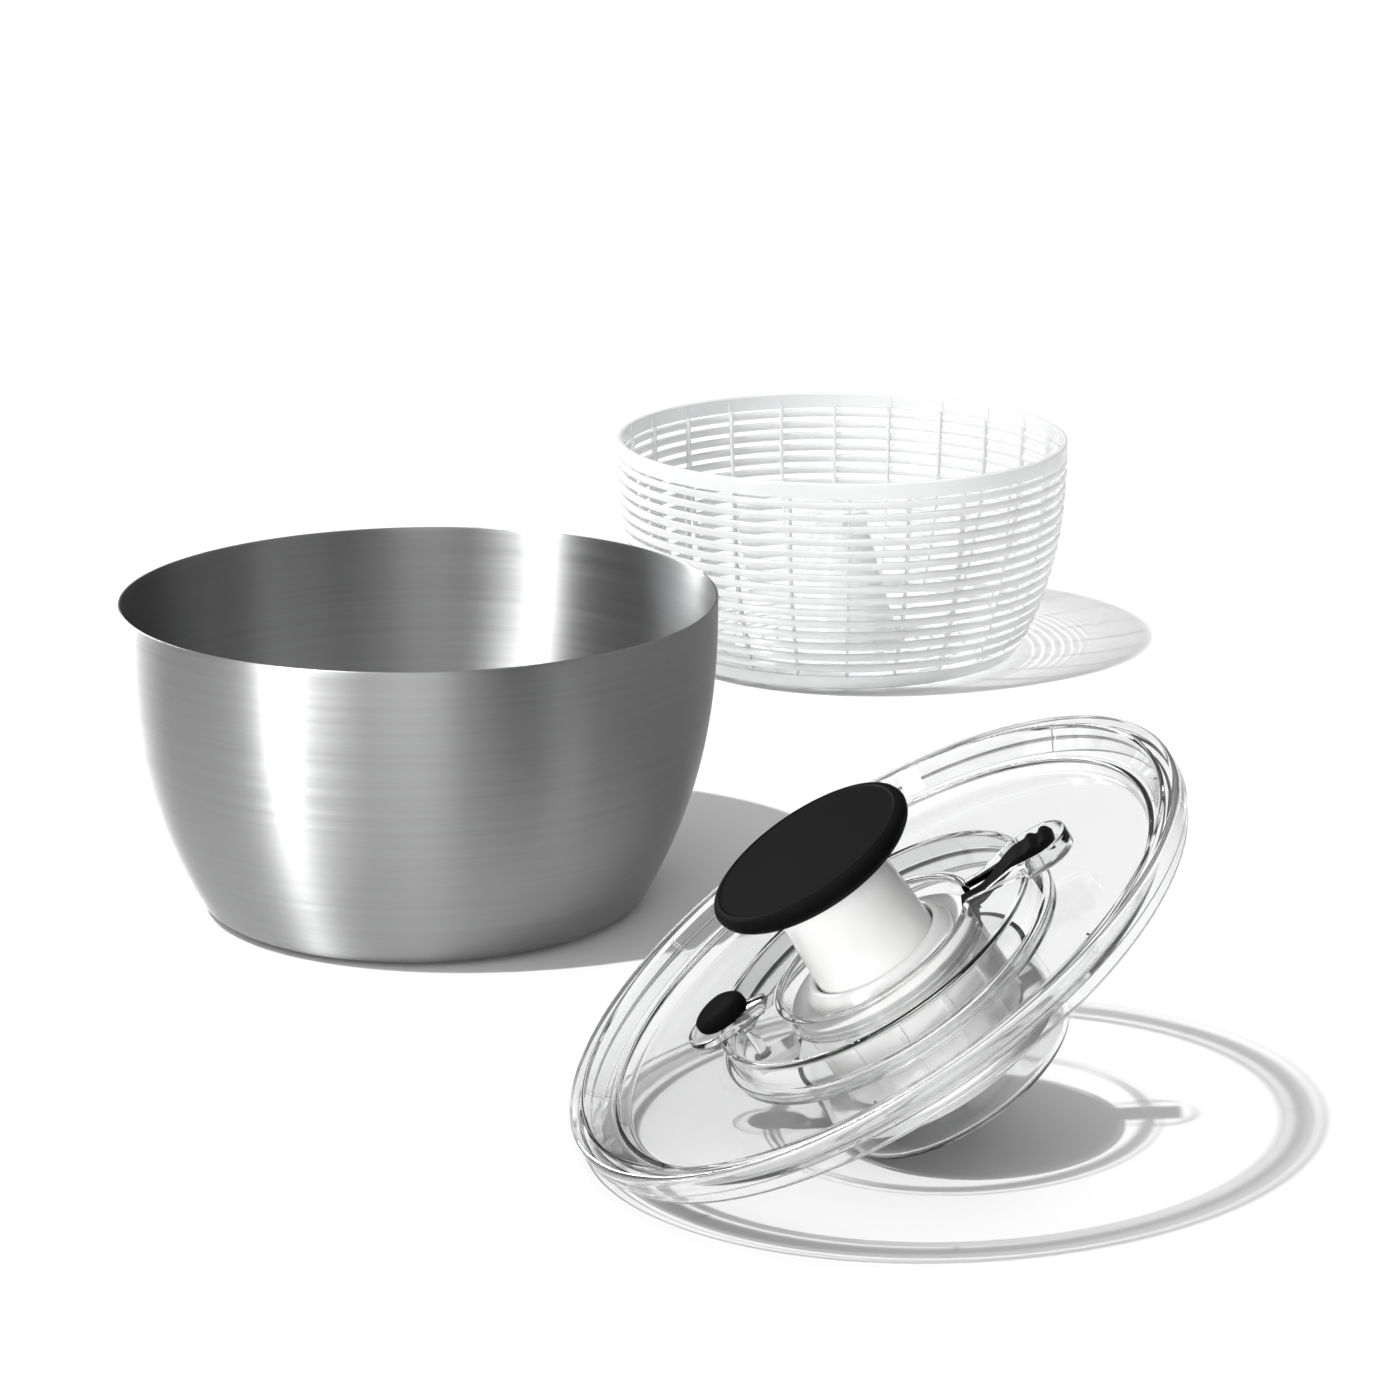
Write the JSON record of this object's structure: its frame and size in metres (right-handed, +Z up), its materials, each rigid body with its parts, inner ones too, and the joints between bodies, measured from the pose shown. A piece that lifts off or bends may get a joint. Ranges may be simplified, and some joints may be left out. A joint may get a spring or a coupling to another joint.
{
  "type": "salad spinner",
  "caption": "Hand salad spinner taken apart: flared steel bowl, slotted basket on a turning foot, and clear lid with pump knob, drive cup, brake and latch.",
  "frame": {"origin": "middle of the underside of the bowl's base pad, on the table", "axes": "+Z up; +X from the bowl towards the basket's side; +Y from the front, where the lid leans, to the back, where the basket stands"},
  "size_m": [0.4502, 0.9746, 0.1524],
  "materials": {
    "brushed_steel": "fine brushing round the bowl",
    "clear_plastic": "clear, polished",
    "frosted_plastic": "translucent white, satin",
    "white_plastic": "satin white",
    "soft_black": "soft-touch matt black",
    "black_rubber": "matt rubber",
    "plated_steel": "zinc-plated steel"
  },
  "bodies": {
    "bowl": {"bowl_shell": "brushed_steel", "base_pad": "black_rubber"},
    "pivot": {"pivot_bush": "white_plastic"},
    "basket": {"basket_body": "frosted_plastic"},
    "lid": {"lid_shell": "clear_plastic", "cover_plate": "clear_plastic", "housing_cap": "white_plastic", "housing_drum": "white_plastic", "bezel_ring": "white_plastic", "housing_screw_1": "plated_steel", "housing_screw_2": "plated_steel", "housing_screw_3": "plated_steel", "housing_screw_4": "plated_steel", "return_spring": "plated_steel", "brake_spring": "plated_steel"},
    "pump": {"knob_pad": "soft_black", "knob_core": "white_plastic", "stem_sleeve": "white_plastic", "drive_screw": "plated_steel", "knob_screw": "plated_steel"},
    "driver": {"screw_nut": "white_plastic", "clutch_ring": "plated_steel"},
    "hub": {"hub_rotor": "white_plastic", "nut_keeper": "plated_steel", "retaining_ring": "plated_steel", "drive_cup": "clear_plastic"},
    "brake": {"brake_button": "soft_black", "brake_arm": "white_plastic", "brake_pad": "black_rubber"},
    "latch": {"latch_slider": "soft_black"}
  },
  "joints": [
    {"name": "basket_lift", "type": "slide", "parent": "bowl", "child": "pivot", "axis": [0, 0, 1], "range_m": [0, 0.15]},
    {"name": "basket_spin", "type": "hinge", "parent": "pivot", "child": "basket", "pos_m": [0.1988, 0.4303, 0.005], "axis": [0, 0, 1], "continuous": true},
    {"name": "lid_lift", "type": "slide", "parent": "bowl", "child": "lid", "axis": [0, 0, 1], "range_m": [0, 0.12]},
    {"name": "pump_press", "type": "slide", "parent": "lid", "child": "pump", "axis": [0.5334, 0.1134, -0.8382], "range_m": [0, 0.027], "stiffness_N_per_m": 300, "springref_m": -0.02, "deforming": ["return_spring"]},
    {"name": "nut_turn", "type": "hinge", "parent": "lid", "child": "driver", "pos_m": [0.194, -0.29112, 0.06408], "axis": [-0.5334, -0.1134, 0.8382], "range_deg": [0, 406]},
    {"name": "hub_freewheel", "type": "hinge", "parent": "driver", "child": "hub", "pos_m": [0.2084, -0.28806, 0.04145], "axis": [-0.5334, -0.1134, 0.8382], "continuous": true},
    {"name": "brake_press", "type": "slide", "parent": "lid", "child": "brake", "axis": [0.5334, 0.1134, -0.8382], "range_m": [0, 0.0023], "stiffness_N_per_m": 400, "springref_m": -0.003, "deforming": ["brake_spring"]},
    {"name": "latch_slide", "type": "slide", "parent": "lid", "child": "latch", "axis": [-0.8458, 0.0848, -0.5267], "range_m": [0, 0.0055]}
  ],
  "couplings": [
    {"joint": "nut_turn", "follows": "pump_press", "rad_per_m": 261.8}
  ]
}
